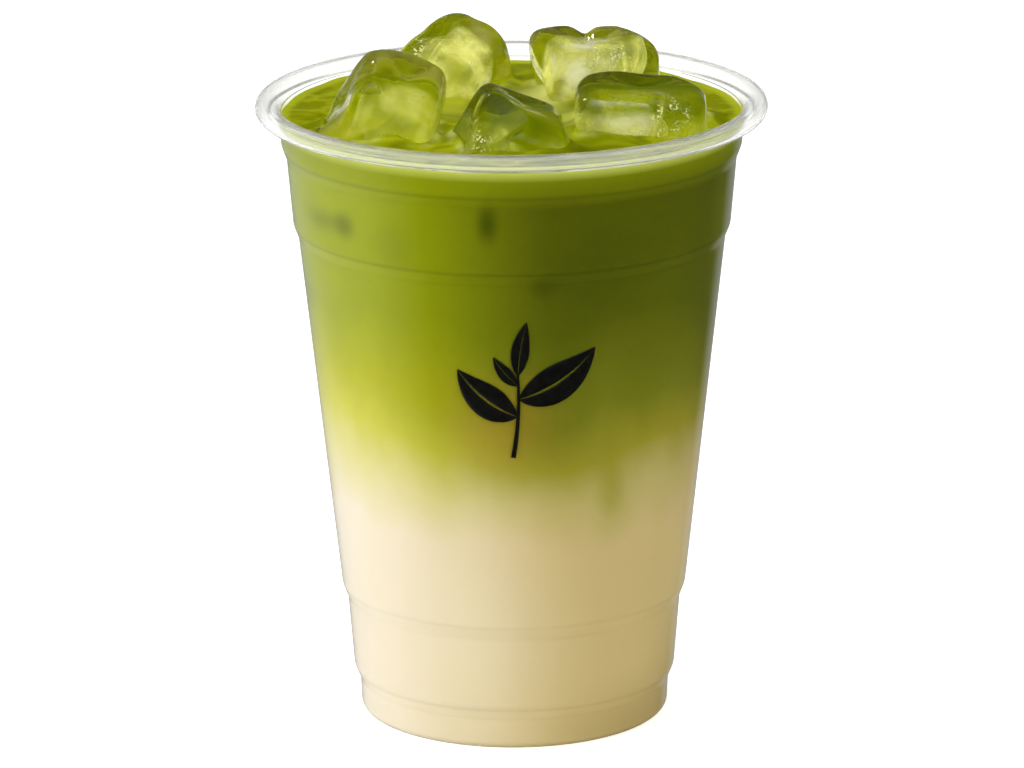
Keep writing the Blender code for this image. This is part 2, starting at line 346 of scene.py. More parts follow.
def shapeIce(name):
    _, size, _, taper, lean, seed = ice["cubes"][name]
    shape = bmesh.new()
    bmesh.ops.create_cube(shape, size=2)
    bmesh.ops.subdivide_edges(shape, edges=shape.edges, cuts=ice["cuts"], use_grid_fill=True)
    half = Vector(size) * mm / 2
    power = ice["squareness"]
    offset = Vector((seed, 2.0 * seed, 0))
    place = placeCube(name)
    facets = chipFacets(name, half, seed)
    dent, dentLength = ice["broadDent"]
    grooved, line, width, groove = ice["groove"]
    film = shape.verts.layers.float.new("film")
    frost = shape.verts.layers.float.new("frost")
    for vert in shape.verts:
        cubeSpot = vert.co.copy()
        unit = cubeSpot / sum(abs(c) ** power for c in cubeSpot) ** (1 / power)
        spot = Vector((
            half.x * (unit.x * (1 - taper[0] * unit.z) + lean * unit.z),
            half.y * unit.y * (1 - taper[1] * unit.z),
            half.z * unit.z,
        ))
        sink = dent * (0.5 + 0.5 * noise.noise(spot / dentLength + offset))
        for depth, length in (ice["melt"], ice["pits"]):
            sink += depth * noise.noise(spot / length - offset)
        edgeNear = sorted(abs(c) for c in cubeSpot)[1]  # 0 in the middle of a face, 1 at an edge
        sink += ice["dish"] * (1 - smoothStep(0.0, 0.85, edgeNear))
        spot -= spot.normalized() * sink
        for normal, reach in facets:
            past = spot.dot(normal) - reach
            if past > 0:
                spot -= normal * past * ice["chipFlat"]
        if name == grooved:
            sink = groove * math.exp(-(((place @ spot).x - line) / width) ** 2)
            spot -= spot.normalized() * sink
        world = place @ spot
        for bulged, centre, radius, shift in ice["bulges"]:
            if name == bulged:
                away = (world / mm - Vector(centre)).length
                world += Vector(shift) * mm * (1 - smoothStep(0.0, radius, away))
        flat = ice["flatTop"].get(name, world.z)
        world.z -= max(0.0, world.z - flat) * ice["melted"]
        nearest = min((world / mm - Vector(centre)).length / radius for centre, radius in ice["frost"])
        vert[film] = teaFilmAndPaintedRefraction(name, world / mm, unit.z, edgeNear)
        vert[frost] = 1 - smoothStep(ice["frostFrom"], 1.0, nearest)
        vert.co = world
    bmesh.ops.recalc_face_normals(shape, faces=shape.faces)
    return shape


def makeIceMaterial():  # wet water ice: clear, green where the tea clings and where painted refraction stands in for the drink seen through its top and edges, with patches of fine white frost
    material, tree = newMaterial("wetMeltingIce")
    place = addNode(tree, "ShaderNodeTexCoord").outputs["Object"]
    film = addNode(tree, "ShaderNodeAttribute", attribute_name="film").outputs["Fac"]
    frost = addNode(tree, "ShaderNodeAttribute", attribute_name="frost").outputs["Fac"]
    streaks = addNode(tree, "ShaderNodeTexNoise", {"Vector": place, "Scale": 1 / (5 * mm), "Detail": 2.0})
    uneven = addNode(tree, "ShaderNodeMath", {0: streaks, 1: 0.9, 2: -0.45}, operation="MULTIPLY_ADD")
    patchy = addNode(tree, "ShaderNodeMath", {0: film, 1: uneven}, operation="ADD", use_clamp=True)
    # tea film and painted refraction of the drink: green, darkest on the top and edges
    tint = addNode(tree, "ShaderNodeMix", {
        "Factor": patchy, "A": hexColour("#f5f6ae"), "B": hexColour("#8b9a02"),
    }, data_type="RGBA")
    crystals = addNode(tree, "ShaderNodeTexNoise", {"Vector": place, "Scale": 1 / (0.48 * mm), "Detail": 2.0})
    specks = addNode(tree, "ShaderNodeMapRange", {"Value": crystals, "From Min": 0.49, "From Max": 0.62})
    clumps = addNode(tree, "ShaderNodeTexNoise", {"Vector": place, "Scale": 1 / (2.4 * mm), "Detail": 1.0})
    gathered = addNode(tree, "ShaderNodeMapRange", {"Value": clumps, "From Min": 0.40, "From Max": 0.58})
    patches = addNode(tree, "ShaderNodeMath", {0: gathered, 1: frost}, operation="MULTIPLY")
    white = addNode(tree, "ShaderNodeMath", {0: specks, 1: patches}, operation="MULTIPLY")
    colour = addNode(tree, "ShaderNodeMix", {
        "Factor": white, "A": tint, "B": hexColour("#f3f2b4"),
    }, data_type="RGBA")
    clearness = addNode(tree, "ShaderNodeMapRange", {"Value": white, "To Min": 1.0, "To Max": 0.15})
    rough = addNode(tree, "ShaderNodeMapRange", {"Value": white, "To Min": 0.0, "To Max": 0.5})
    relief = addNode(tree, "ShaderNodeMath", {0: crystals, 1: frost}, operation="MULTIPLY")
    bump = addNode(tree, "ShaderNodeBump", {"Height": relief, "Strength": 0.35, "Distance": 0.5 * mm})
    finishGlass(tree, {
        "Base Color": colour, "Roughness": rough, "IOR": 1.31,
        "Transmission Weight": clearness, "Normal": bump,
    }, "#eef0b0")
    return material


def makeCoreMaterial():  # ice full of fine air bubbles: pale and cloudy, seen through the clear ice round it
    material, tree = newMaterial("cloudyIceCore")
    place = addNode(tree, "ShaderNodeTexCoord").outputs["Object"]
    clouds = addNode(tree, "ShaderNodeTexNoise", {"Vector": place, "Scale": 1 / (4 * mm), "Detail": 3.0})
    uneven = addNode(tree, "ShaderNodeMapRange", {
        "Value": clouds, "From Min": 0.36, "From Max": 0.62, "To Min": 0.25,
    })
    cloud = addNode(tree, "ShaderNodeAttribute", attribute_name="cloud").outputs["Fac"]
    thick = addNode(tree, "ShaderNodeMath", {0: uneven, 1: cloud}, operation="MULTIPLY")
    body = addNode(tree, "ShaderNodeBsdfPrincipled", {
        "Base Color": hexColour("#fcfad2"), "Roughness": 0.8, "Specular IOR Level": 0.0, "Alpha": thick,
    })
    addNode(tree, "ShaderNodeOutputMaterial", {"Surface": body})
    return material


def makeIceCores():
    shape = bmesh.new()
    cloud = shape.verts.layers.float.new("cloud")
    power = ice["veilSquareness"]
    limit = ice["veilLimit"]
    uneven, lumpScale = ice["veilLump"]
    mean, swing, patchScale = ice["veilPatch"]
    for name, (middle, share, strength) in ice["cores"].items():
        _, size, _, _, _, seed = ice["cubes"][name]
        half = Vector(size) * mm / 2
        for veil in ice["veils"]:
            made = bmesh.ops.create_icosphere(shape, subdivisions=4, radius=veil)
            for vert in made["verts"]:
                lump = 1 + uneven * noise.noise(vert.co * lumpScale + Vector((seed, 3 * veil, 0)))
                unit = vert.co / veil
                unit *= veil * lump / sum(abs(c) ** power for c in unit) ** (1 / power)
                _, second, first = sorted(abs(c) for c in unit)
                patch = mean + swing * noise.noise(vert.co * patchScale - Vector((seed, 0, 0)))
                patch *= 1 - smoothStep(*ice["veilFade"], second / first)
                vert[cloud] = strength * min(1.0, max(0.0, patch))
                spot = [min(limit, max(-limit, middle[i] + share[i] * unit[i])) for i in range(3)]
                vert.co = Vector([half[i] * spot[i] for i in range(3)])
            bmesh.ops.transform(shape, matrix=placeCube(name), verts=made["verts"])
    finishPiece("ice_cloudy_cores", shape, [makeCoreMaterial()])


def makeIce():
    material = makeIceMaterial()
    pieces = []
    for name in ice["cubes"]:
        piece = finishPiece(name + "_cube", shapeIce(name), [material], [name])
        smooth = piece.modifiers.new("melted", "SUBSURF")
        smooth.levels = smooth.render_levels = 1
        pieces.append(piece)
    return pieces


drink = {
    "intoWall": 0.12 * mm,  # the drink reaches into the plastic, so that no air shows between them
    "neckGap": 0.1 * mm,  # the surface's edge stays this far inside the neck
    "level": 117.9 * mm,
    "edgeClimb": (0.5 * mm, 1.4 * mm),  # height and reach of the meniscus at the wall
    "iceClimb": (1.2 * mm, 1.4 * mm),
    "unevenClimb": (1.6, 5 * mm),  # how much the climb on the ice comes and goes, and over what length
    "shore": (0.3 * mm, 1.7 * mm),  # how far from the ice the drink is thin and pale
    "pocket": (0.5 * mm, 3.0 * mm),  # how far inside a cube the surface starts to drop, and is fully down
    "underGap": 0.6 * mm,  # how far it stays above a cube's bottom
    "underFrom": 0.02,  # share of the drop from which it counts as under the ice
    "surfaceDepth": 1 * mm,  # the open surface has the faces no further below the level than this
    "surfaceTurn": 0.2,  # and whose normals' upward part is more than this
    "ripple": (0.35 * mm, 17 * mm),  # height and length
    "swirl": (0.25 * mm, 6 * mm),
    "rings": 84,
    "steps": 320,
    "layerPoint": (0, 0, 58.5 * mm),
    "layerNormal": (1.6, -4.8, 37.0),
}


drinkTints = {
    "blend": (118 * mm, 43.4 * mm),  # heights where the blend starts and ends
    "sides": (-38 * mm, 10 * mm),  # painted light on the left and painted shade on the right: X where the lit ramp gives way to the shaded one
    "lobes": ((20 * mm, 24 * mm), (5 * mm, 8 * mm)),  # lift and length
    # the lit side's colours, with painted light
    "milky": (
        (0.00, "#a5af08"), (0.42, "#aab20b"), (0.62, "#c4c416"),
        (0.75, "#d9d64f"), (0.86, "#e7e09c"), (1.00, "#f6ecda"),
    ),
    # the shaded side's colours, with painted shade
    "deep": (
        (0.00, "#565d03"), (0.42, "#5f6609"), (0.66, "#7c7f1b"),
        (0.78, "#a0992f"), (0.88, "#c2b471"), (1.00, "#d1bd86"),
    ),
    "tongues": (  # centre, size, lift: where the tea hangs lower, or stays higher for a lift below 0
        ((-4 * mm, -36 * mm, 50 * mm), (17 * mm, 20 * mm, 16 * mm), 2.5 * mm),
        ((19 * mm, -32 * mm, 48 * mm), (6 * mm, 12 * mm, 10 * mm), 5 * mm),
        ((-37 * mm, -8 * mm, 60 * mm), (12 * mm, 20 * mm, 24 * mm), -5 * mm),
    ),
    "paintedEdgeHighlight": (41.8 * mm, 43.4 * mm),  # the radii where the painted highlight along the surface's edge at the wall starts, and is full
    "underIce": (117.5 * mm, 110 * mm),  # the heights where the painted light on the tea under the ice starts, and is full
    "surfacePatches": (  # centre, size, strength, colour: froth between the cubes, and deep tea at the front
        ((12 * mm, -3 * mm, 118 * mm), (14 * mm, 12 * mm, 12 * mm), 0.45, "#dcdc7c"),
        ((5 * mm, 14 * mm, 118 * mm), (9 * mm, 16 * mm, 12 * mm), 0.80, "#e2e28a"),
        ((-12 * mm, 3 * mm, 118 * mm), (9 * mm, 16 * mm, 12 * mm), 0.40, "#cdd04e"),
        ((13 * mm, -30 * mm, 118 * mm), (20 * mm, 13 * mm, 12 * mm), 0.60, "#5c6602"),
    ),
    "underIcePatches": (  # deep tea under the left cube's outer edge
        ((-35 * mm, -15 * mm, 114 * mm), (10 * mm, 12 * mm, 14 * mm), 1.0, "#6a7502"),
    ),
    "paintedGlowBands": (  # heights, strength, colour: painted light, a lighter band below the surface, then a pale painted glow where the drink climbs the wall
        ((109.8 * mm, 116.5 * mm), 0.60, "#9aa20a"),
        ((115.6 * mm, 117.3 * mm), 0.80, "#dbe06c"),
    ),
    # Painted shade: a thin dark line along each crease, and painted light on the sloped step that hides its
    # real shade.
    "creaseShadeAndSlopeLight": (  # line of painted shade: height, half width, depth; sloped step: bottom, top, how much painted light lifts it
        (112.3 * mm, 0.7 * mm, 0.20, 110.3 * mm, 113.0 * mm, 0.05),
        (97.1 * mm, 0.6 * mm, 0.20, 94.9 * mm, 97.4 * mm, 0.09),
        (25.3 * mm, 0.6 * mm, 0.05, 22.8 * mm, 25.6 * mm, 0.04),
        (8.2 * mm, 0.7 * mm, 0.10, 6.2 * mm, 9.0 * mm, 0.07),
    ),
    "slopeLightFade": 0.4 * mm,  # how soft the edges of the painted light on a sloped step are
    "clouds": (  # centre, size, strength, colour: sunk ice at the wall, then uneven patches of the drink, painted shade low on the right, and painted reflections along the right edge
        ((-4.6 * mm, -41.5 * mm, 107.4 * mm), (3.2 * mm, 6 * mm, 6.0 * mm), 0.75, "#363e02"),
        ((-31.4 * mm, -27.6 * mm, 103.6 * mm), (3.6 * mm, 6 * mm, 4.2 * mm), 0.50, "#4c560a"),
        ((-35.5 * mm, -22.5 * mm, 103.4 * mm), (8.5 * mm, 12 * mm, 3.6 * mm), 0.45, "#6f7b12"),
        ((-22.0 * mm, -36.0 * mm, 101.5 * mm), (7.0 * mm, 10 * mm, 7.0 * mm), 0.22, "#6f7b12"),
        ((6.0 * mm, -40.5 * mm, 94.6 * mm), (4.2 * mm, 6 * mm, 3.4 * mm), 0.45, "#363e02"),
        ((-38.0 * mm, -8.0 * mm, 86.0 * mm), (4.0 * mm, 8 * mm, 6.0 * mm), 0.30, "#66720c"),
        ((14 * mm, -38 * mm, 96 * mm), (17 * mm, 20 * mm, 18 * mm), 0.40, "#464d01"),
        ((-2 * mm, -37 * mm, 67 * mm), (17 * mm, 16 * mm, 16 * mm), 0.50, "#a5852f"),
        ((-7 * mm, -32 * mm, 22 * mm), (26 * mm, 24 * mm, 40 * mm), 0.32, "#f4ebd6"),
        # painted shade at the bottom right, then painted reflections along the right edge
        ((26 * mm, -20 * mm, 0 * mm), (30 * mm, 28 * mm, 16 * mm), 0.50, "#a58e50"),
        ((43 * mm, -8 * mm, 92 * mm), (9 * mm, 24 * mm, 45 * mm), 0.50, "#959a26"),
        ((36 * mm, -8 * mm, 30 * mm), (11 * mm, 26 * mm, 34 * mm), 0.70, "#ead9a4"),
    ),
}


def softSpot(tree, place, centre, size):  # 1 at the centre, fading to 0 at the edge of an ellipsoid
    offset = addNode(tree, "ShaderNodeVectorMath", {0: place, 1: centre}, operation="SUBTRACT")
    scaled = addNode(tree, "ShaderNodeVectorMath", {0: offset, 1: size}, operation="DIVIDE")
    reach = addNode(tree, "ShaderNodeVectorMath", {0: scaled}, operation="LENGTH").outputs["Value"]
    return addNode(tree, "ShaderNodeMapRange", {
        "Value": reach, "From Min": 1.0, "From Max": 0.0,
    }, interpolation_type="SMOOTHSTEP")


def tintSpots(tree, place, colour, spots):  # soft patches of colour, one over another
    for centre, size, strength, code in spots:
        near = softSpot(tree, place, centre, size)
        share = addNode(tree, "ShaderNodeMath", {0: near, 1: strength}, operation="MULTIPLY")
        colour = addNode(tree, "ShaderNodeMix", {
            "Factor": share, "A": colour, "B": hexColour(code),
        }, data_type="RGBA")
    return colour


def shadeRing(tree, height, middle, full, gone, amount):  # an amount that fades out above and below a height
    away = addNode(tree, "ShaderNodeMath", {0: height, 1: middle}, operation="SUBTRACT")
    reach = addNode(tree, "ShaderNodeMath", {0: away}, operation="ABSOLUTE")
    return addNode(tree, "ShaderNodeMapRange", {
        "Value": reach, "From Min": full, "From Max": gone, "To Min": amount, "To Max": 0.0,
    }, interpolation_type="SMOOTHSTEP")


def drinkColour(tree):  # matcha over coconut milk, blended by height, with uneven clouds; painted light on the left, painted shade on the right, a painted glow near the top and painted shade along the creases
    place = addNode(tree, "ShaderNodeTexCoord").outputs["Object"]
    split = addNode(tree, "ShaderNodeSeparateXYZ", {0: place})
    stretched = addNode(tree, "ShaderNodeMapping", {"Vector": place, "Scale": (1, 1, 0.5)})
    height = split.outputs["Z"]
    for lift, length in drinkTints["lobes"]:
        lobes = addNode(tree, "ShaderNodeTexNoise", {
            "Vector": stretched, "Scale": 1 / length, "Detail": 2.0, "Roughness": 0.45,
        })
        centred = addNode(tree, "ShaderNodeMath", {0: lobes, 1: 0.5}, operation="SUBTRACT")
        height = addNode(tree, "ShaderNodeMath", {0: centred, 1: lift, 2: height}, operation="MULTIPLY_ADD")
    for centre, size, lift in drinkTints["tongues"]:
        near = softSpot(tree, place, centre, size)
        height = addNode(tree, "ShaderNodeMath", {0: near, 1: lift, 2: height}, operation="MULTIPLY_ADD")
    start, end = drinkTints["blend"]
    blend = addNode(tree, "ShaderNodeMapRange", {"Value": height, "From Min": start, "From Max": end})
    # painted light on the left and painted shade on the right: a lit and a shaded copy of the ramp, mixed by
    # X
    left, right = drinkTints["sides"]
    side = addNode(tree, "ShaderNodeMapRange", {
        "Value": split.outputs["X"], "From Min": left, "From Max": right,
    }, interpolation_type="SMOOTHSTEP")
    milky = addNode(tree, "ShaderNodeValToRGB", {0: blend})
    fillRamp(milky, drinkTints["milky"])
    deep = addNode(tree, "ShaderNodeValToRGB", {0: blend})
    fillRamp(deep, drinkTints["deep"])
    colour = addNode(tree, "ShaderNodeMix", {"Factor": side, "A": milky, "B": deep}, data_type="RGBA")
    # a painted glow near the top of the wall
    for (bottom, top), strength, code in drinkTints["paintedGlowBands"]:
        glowShare = addNode(tree, "ShaderNodeMapRange", {
            "Value": split.outputs["Z"], "From Min": bottom, "From Max": top, "To Max": strength,
        })
        colour = addNode(tree, "ShaderNodeMix", {
            "Factor": glowShare, "A": colour, "B": hexColour(code),
        }, data_type="RGBA")
    # uneven clouds and sunk ice, with painted shade low on the right and painted reflections along the right
    # edge
    colour = tintSpots(tree, place, colour, drinkTints["clouds"])
    # painted shade along each crease and painted light on each sloped step scale the colour
    shade = 1.0
    for line, width, depth, bottom, top, lift in drinkTints["creaseShadeAndSlopeLight"]:
        middle, half = (bottom + top) / 2, (top - bottom) / 2
        creaseShade = shadeRing(tree, split.outputs["Z"], line, 0, width, -depth)
        shade = addNode(tree, "ShaderNodeMath", {0: creaseShade, 1: shade}, operation="ADD")
        slope = shadeRing(tree, split.outputs["Z"], middle, half - drinkTints["slopeLightFade"], half, lift)
        shade = addNode(tree, "ShaderNodeMath", {0: slope, 1: shade}, operation="ADD")
    return addNode(tree, "ShaderNodeVectorMath", {0: colour, "Scale": shade}, operation="SCALE")


def makeDrinkAtWall(name):  # cloudy liquid wetting the plastic, so it has no gloss of its own
    material, tree = newMaterial(name)
    body = addNode(tree, "ShaderNodeBsdfPrincipled", {
        "Roughness": 0.6, "Specular IOR Level": 0.0, "IOR": 1.34, "Base Color": drinkColour(tree),
    })
    addNode(tree, "ShaderNodeOutputMaterial", {"Surface": body})
    return material


def makeDrinkSurface():  # the open surface of the matcha: glossy, swirled, with a painted highlight along its edge at the wall
    material, tree = newMaterial("matchaTeaSurface")
    place = addNode(tree, "ShaderNodeTexCoord").outputs["Object"]
    swirls = addNode(tree, "ShaderNodeTexNoise", {
        "Vector": place, "Scale": 1 / (14 * mm), "Detail": 3.0, "Distortion": 1.2,
    })
    swirled = addNode(tree, "ShaderNodeValToRGB", {0: swirls})
    fillRamp(swirled, [(0.34, "#6a7402"), (0.47, "#8f9707"), (0.57, "#b0b618"), (0.66, "#8f9707")])
    flat = addNode(tree, "ShaderNodeVectorMath", {0: place, 1: (1, 1, 0)}, operation="MULTIPLY")
    radius = addNode(tree, "ShaderNodeVectorMath", {0: flat}, operation="LENGTH").outputs["Value"]
    # a painted highlight along the edge at the wall
    inner, outer = drinkTints["paintedEdgeHighlight"]
    edgeHighlight = addNode(tree, "ShaderNodeMapRange", {
        "Value": radius, "From Min": inner, "From Max": outer, "To Max": 0.8,
    }, interpolation_type="SMOOTHSTEP")
    colour = addNode(tree, "ShaderNodeMix", {
        "Factor": edgeHighlight, "A": swirled, "B": hexColour("#c3ca2c"),
    }, data_type="RGBA")
    shore = addNode(tree, "ShaderNodeAttribute", attribute_name="shore").outputs["Fac"]
    froth = addNode(tree, "ShaderNodeTexNoise", {"Vector": place, "Scale": 1 / (6 * mm), "Detail": 3.0})
    broken = addNode(tree, "ShaderNodeMapRange", {
        "Value": froth, "From Min": 0.48, "From Max": 0.64, "To Max": 0.55,
    })
    milky = addNode(tree, "ShaderNodeMath", {0: broken, 1: shore}, operation="MULTIPLY")
    colour = addNode(tree, "ShaderNodeMix", {
        "Factor": milky, "A": colour, "B": hexColour("#e3e59c"),
    }, data_type="RGBA")
    body = addNode(tree, "ShaderNodeBsdfPrincipled", {
        "Roughness": 0.5, "IOR": 1.34, "Specular IOR Level": 0.0,
        "Base Color": tintSpots(tree, place, colour, drinkTints["surfacePatches"]),
        "Coat Weight": 0.06, "Coat Roughness": 0.08, "Coat IOR": 1.34,
    })
    addNode(tree, "ShaderNodeOutputMaterial", {"Surface": body})
    return material


def makeDrinkUnderIce():  # tea that wets the ice from below, with painted light for what shines through the ice: paler the deeper it lies
    material, tree = newMaterial("matchaTeaUnderIce")
    place = addNode(tree, "ShaderNodeTexCoord").outputs["Object"]
    split = addNode(tree, "ShaderNodeSeparateXYZ", {0: place})
    shallow, low = drinkTints["underIce"]
    deep = addNode(tree, "ShaderNodeMapRange", {
        "Value": split.outputs["Z"], "From Min": shallow, "From Max": low,
    })
    paintedUnderLight = addNode(tree, "ShaderNodeValToRGB", {0: deep})
    fillRamp(paintedUnderLight, [(0.0, "#99a10a"), (0.25, "#c2c726"), (0.7, "#e4e468"), (1.0, "#efec9c")])
    # clouds of milky film, which grow with the painted light the deeper they lie
    clouds = addNode(tree, "ShaderNodeTexNoise", {"Vector": place, "Scale": 1 / (7 * mm), "Detail": 1.0})
    milky = addNode(tree, "ShaderNodeMapRange", {
        "Value": clouds, "From Min": 0.48, "From Max": 0.62, "To Max": 0.85,
    }, interpolation_type="SMOOTHSTEP")
    share = addNode(tree, "ShaderNodeMath", {0: milky, 1: deep}, operation="MULTIPLY")
    colour = addNode(tree, "ShaderNodeMix", {
        "Factor": share, "A": paintedUnderLight, "B": hexColour("#fbf8dc"),
    }, data_type="RGBA")
    body = addNode(tree, "ShaderNodeBsdfPrincipled", {
        "Roughness": 0.8, "Specular IOR Level": 0.0,
        "Base Color": tintSpots(tree, place, colour, drinkTints["underIcePatches"]),
    })
    addNode(tree, "ShaderNodeOutputMaterial", {"Surface": body})
    return material


def makeDrink(icePieces):
    inset = cup["wall"] - drink["intoWall"]
    floor = cup["panelHeight"] + inset
    line = wallLine(inset)
    line[0] = (line[0][0], inset)
    top = (cup["neck"] - inset - drink["neckGap"], drink["level"])
    base = [(0, floor), (cup["panelRadius"] - inset, floor), (cup["footInner"] + inset, inset)]
    shape = bmesh.new()
    drawLine(shape, base + line + [top, (0, drink["level"])])
    roundCorners(shape, base[1:], cup["panelRound"], 4)
    roundCorners(shape, line[:1], cup["footRound"] - inset, 6)
    roundCorners(shape, line[1:], cup["bandRound"], 4)
    surfaceLine = [e for e in shape.edges if all(abs(v.co.z - drink["level"]) < hair for v in e.verts)]
    bmesh.ops.subdivide_edges(shape, edges=surfaceLine, cuts=drink["rings"])
    spinRound(shape, drink["steps"])
    shape.normal_update()
    if sum(f.normal.x * f.calc_center_median().x for f in shape.faces) < 0:
        bmesh.ops.reverse_faces(shape, faces=shape.faces)
    lower = shape.copy()
    slope = Vector(drink["layerNormal"]).normalized()
    for body, side in ((shape, "clear_inner"), (lower, "clear_outer")):
        cut = bmesh.ops.bisect_plane(
            body, geom=body.verts[:] + body.edges[:] + body.faces[:], dist=hair / 10,
            plane_co=drink["layerPoint"], plane_no=slope, **{side: True},
        )
        rim = [e for e in cut["geom_cut"] if isinstance(e, bmesh.types.BMEdge)]
        bmesh.ops.holes_fill(body, edges=rim, sides=0)
        bmesh.ops.recalc_face_normals(body, faces=body.faces)

    depsgraph = bpy.context.evaluated_depsgraph_get()
    trees = [BVHTree.FromObject(piece, depsgraph) for piece in icePieces]
    down = Vector((0, 0, -1))
    comesAndGoes, unevenLength = drink["unevenClimb"]
    underIce = set()
    shore = shape.verts.layers.float.new("shore")
    for vert in shape.verts:
        if vert.co.z < drink["level"] - hair:
            continue
        start = vert.co.copy()
        height, reach = drink["edgeClimb"]
        lift = height * math.exp(-max(0.0, top[0] - start.xy.length) / reach)
        height, reach = drink["iceClimb"]
        gap = min((tree.find_nearest(start)[3] or 1.0) for tree in trees)
        uneven = 1 + comesAndGoes * noise.noise(start / unevenLength)
        lift += height * uneven * math.exp(-gap / reach)
        vert[shore] = 1 - smoothStep(*drink["shore"], gap)
        for height, length in (drink["ripple"], drink["swirl"]):
            lift += height * noise.noise(start / length)
        for tree in trees:
            bottom, normal, _, fall = tree.ray_cast(start, down)
            if bottom is not None and normal.z < 0:  # the ray leaves a cube, so it started inside one
                inside = smoothStep(*drink["pocket"], gap)
                lift -= inside * (fall - drink["underGap"])
                if inside > drink["underFrom"]:
                    underIce.add(vert)
        vert.co.z += lift
    lowest = drink["level"] - drink["surfaceDepth"]
    for face in shape.faces:
        high = all(v.co.z > lowest or v in underIce for v in face.verts)
        onTop = high and face.normal.z > drink["surfaceTurn"]
        face.material_index = 2 if any(v in underIce for v in face.verts) else 1 if onTop else 0
    matcha = [makeDrinkAtWall("matchaTeaAtWall"), makeDrinkSurface(), makeDrinkUnderIce()]
    finishPiece("matcha_drink", shape, matcha, ["matcha_layer"])
    coconut = [makeDrinkAtWall("coconutMilkAtWall")]
    finishPiece("coconut_drink", lower, coconut, ["coconut_layer"])


sprig = {
    "centre": (2.0 * mm, 74.0 * mm),  # across the front, and height
    "proud": 0.02 * mm,
    "thickness": 0.03 * mm,
    "vein": 0.07,  # the clear line along a leaf, as a share of its half width
    "leaves": (  # foot, direction in degrees, length, half width, bend in degrees
        ((-1.15, -5.2), 160, 15.0, 3.3, -38),
        ((-0.90, -1.7), 14, 18.0, 3.7, 38),
        ((-1.05, 3.0), 88, 11.0, 1.7, -14),
        ((-1.05, 1.0), 140, 7.5, 1.3, -22),
    ),
    "stem": ((-2.0, -13.5), 80, 17.0, 0.45, 14),
    "leafShape": (0.8, 0.9),  # powers below 1: a leaf is widest nearer its foot, and its ends are blunter
    "stemTaper": 0.5,
    "grid": (40, 4),
    "walk": 20,  # steps along a bent middle line
}


def makeInk():  # black screen-printing ink: satin, a little uneven in depth
    material, tree = newMaterial("blackScreenInk")
    place = addNode(tree, "ShaderNodeTexCoord").outputs["Object"]
    depth = addNode(tree, "ShaderNodeTexNoise", {"Vector": place, "Scale": 1 / (1.5 * mm), "Detail": 3.0})
    colour = addNode(tree, "ShaderNodeValToRGB", {0: depth})
    fillRamp(colour, [(0.35, "#070806"), (0.65, "#12140d")])
    rough = addNode(tree, "ShaderNodeMapRange", {"Value": depth, "To Min": 0.30, "To Max": 0.45})
    body = addNode(tree, "ShaderNodeBsdfPrincipled", {"Base Color": colour, "Roughness": rough, "IOR": 1.5})
    addNode(tree, "ShaderNodeOutputMaterial", {"Surface": body})
    return material


def makeSprig():
    shape = bmesh.new()
    lengthwise, crosswise = sprig["grid"]
    widest, blunt = sprig["leafShape"]

    def strip(foot, direction, length, halfWidth, bend, low, high, tip):
        # a grid laid along a bent line: low and high are the shares of the half width that it covers
        made = bmesh.ops.create_grid(shape, x_segments=lengthwise, y_segments=crosswise, size=0.5)
        for vert in made["verts"]:
            along = vert.co.x + 0.5
            across = low + (high - low) * (vert.co.y + 0.5)
            middle = Vector(foot)
            for i in range(sprig["walk"]):
                heading = math.radians(direction + bend * (i + 0.5) / sprig["walk"] * along)
                middle += Vector((math.cos(heading), math.sin(heading))) * length * along / sprig["walk"]
            heading = math.radians(direction + bend * along)
            outline = math.sin(math.pi * along ** widest) ** blunt if tip else 1 - sprig["stemTaper"] * along
            width = halfWidth * outline
            spot = middle + Vector((-math.sin(heading), math.cos(heading))) * width * across
            height = sprig["centre"][1] + spot.y * mm
            (lowRadius, lowHeight), (highRadius, highHeight) = cup["bands"][3:5]
            share = (height - lowHeight) / (highHeight - lowHeight)
            radius = lowRadius + (highRadius - lowRadius) * share + sprig["proud"]
            turned = (sprig["centre"][0] + spot.x * mm) / radius
            vert.co = (radius * math.sin(turned), -radius * math.cos(turned), height)

    for foot, direction, length, halfWidth, bend in sprig["leaves"]:
        strip(foot, direction, length, halfWidth, bend, sprig["vein"], 1.0, True)
        strip(foot, direction, length, halfWidth, bend, -1.0, -sprig["vein"], True)
    strip(*sprig["stem"], -1.0, 1.0, False)
    bmesh.ops.remove_doubles(shape, verts=shape.verts, dist=2 * hair)
    bmesh.ops.recalc_face_normals(shape, faces=shape.faces)
    for face in shape.faces:
        if face.normal.y > 0:
            face.normal_flip()
    piece = finishPiece("tea_sprig_print", shape, [makeInk()])
    film = piece.modifiers.new("inkFilm", "SOLIDIFY")
    film.thickness = sprig["thickness"]
    film.offset = 1


